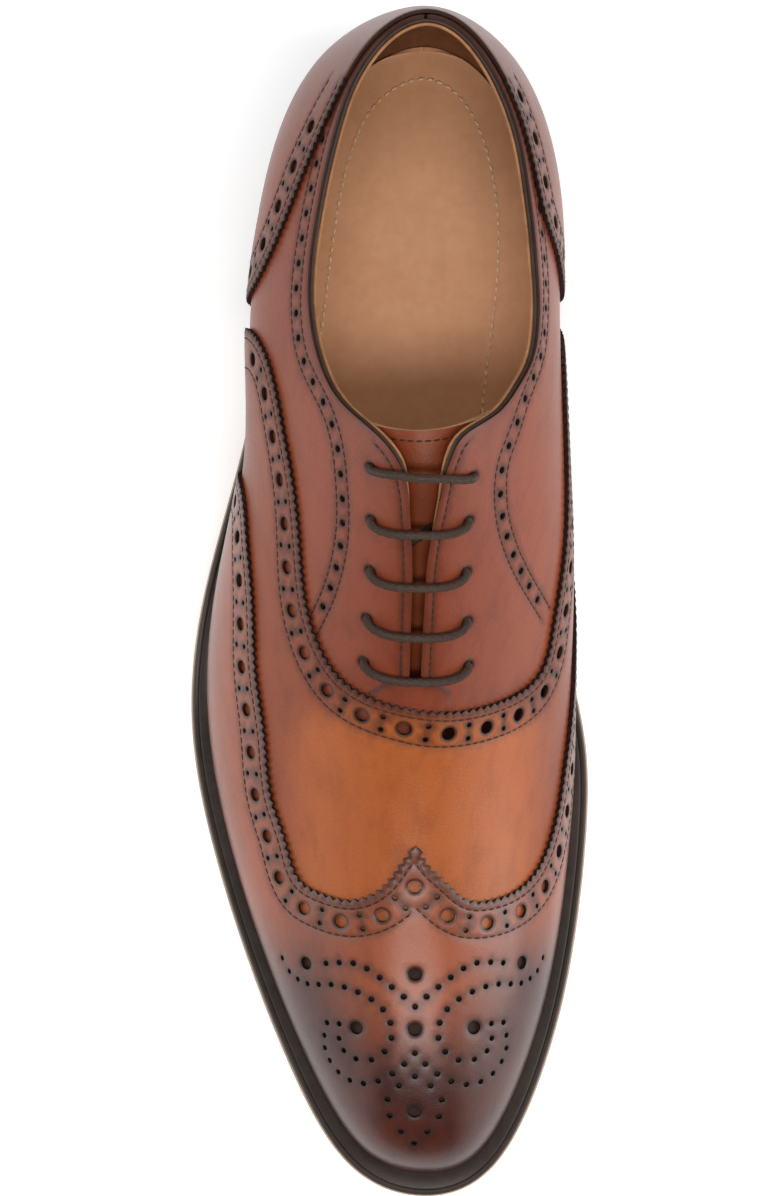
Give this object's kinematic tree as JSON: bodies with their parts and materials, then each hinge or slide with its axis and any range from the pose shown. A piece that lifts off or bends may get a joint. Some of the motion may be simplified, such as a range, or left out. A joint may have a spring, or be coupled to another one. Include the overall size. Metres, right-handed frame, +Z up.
{
  "type": "leather oxford shoe",
  "caption": "Right brogue oxford shoe in brown leather with a pinked, perforated wing cap, closed lacing, stitched welt and stacked heel; it covers and supports a foot.",
  "frame": {"origin": "on the floor under the middle of the shoe's length and width", "axes": "+Y points to the heel and -Y to the toe, +X to the inner (medial) side, -X to the outer (lateral) side, +Z up from the floor"},
  "size_m": [0.1064, 0.31, 0.105],
  "materials": {
    "sole_leather": "dark edge-stained sole leather",
    "welt_leather": "dark brown polished welt",
    "cork": "granulated cork filler",
    "shank_steel": "plain spring steel",
    "insole_leather": "undyed board leather",
    "cushion": "soft foam pad",
    "sock_leather": "natural tan lining leather, matt",
    "heel_leather": "stacked heel leather, dark edge",
    "heel_rubber": "black rubber",
    "nail_steel": "plain steel nails",
    "pin_brass": "brass pins",
    "wing_leather": "hand-burnished brown calf, dark at the toe and edges",
    "vamp_leather": "tan-orange calf, burnished towards the seams",
    "quarter_leather": "reddish brown calf, semi-gloss",
    "stiffening": "stiffened board",
    "lining_leather": "tan calf lining",
    "heel_lining_leather": "dark brown lining, brushed",
    "stay_tape": "cotton tape",
    "beading": "thin dark piping",
    "lace_cotton": "round waxed cotton braid",
    "aglet_plastic": "dark plastic tip"
  },
  "bodies": {
    "shoe": {"outsole": "sole_leather", "welt": "welt_leather", "cork_filler": "cork", "shank": "shank_steel", "insole_board": "insole_leather", "sock_cushion": "cushion", "sock_lining": "sock_leather", "heel_lift_1": "heel_leather", "heel_lift_2": "heel_leather", "heel_lift_3": "heel_leather", "top_piece_leather": "heel_leather", "top_piece_rubber": "heel_rubber", "heel_nails": "nail_steel", "top_piece_pins": "pin_brass", "wing_cap": "wing_leather", "vamp": "vamp_leather", "quarter_lateral": "quarter_leather", "quarter_medial": "quarter_leather", "counter_cover": "wing_leather", "throat_tab": "quarter_leather", "toe_puff": "stiffening", "heel_stiffener": "stiffening", "vamp_lining": "lining_leather", "quarter_lining_lateral": "lining_leather", "quarter_lining_medial": "lining_leather", "heel_lining": "heel_lining_leather", "facing_stay_lateral": "stay_tape", "facing_stay_medial": "stay_tape", "topline_beading": "beading", "lace": "lace_cotton", "aglets": "aglet_plastic"},
    "tongue": {"tongue": "quarter_leather", "tongue_lining": "lining_leather"}
  },
  "joints": [
    {"name": "tongue_fold", "type": "hinge", "parent": "shoe", "child": "tongue", "pos_m": [0.0068, -0.0235, 0.061], "axis": [1, 0, 0], "range_deg": [-18, 0], "stiffness_Nm_per_rad": 0.01, "springref_deg": 11.46}
  ]
}
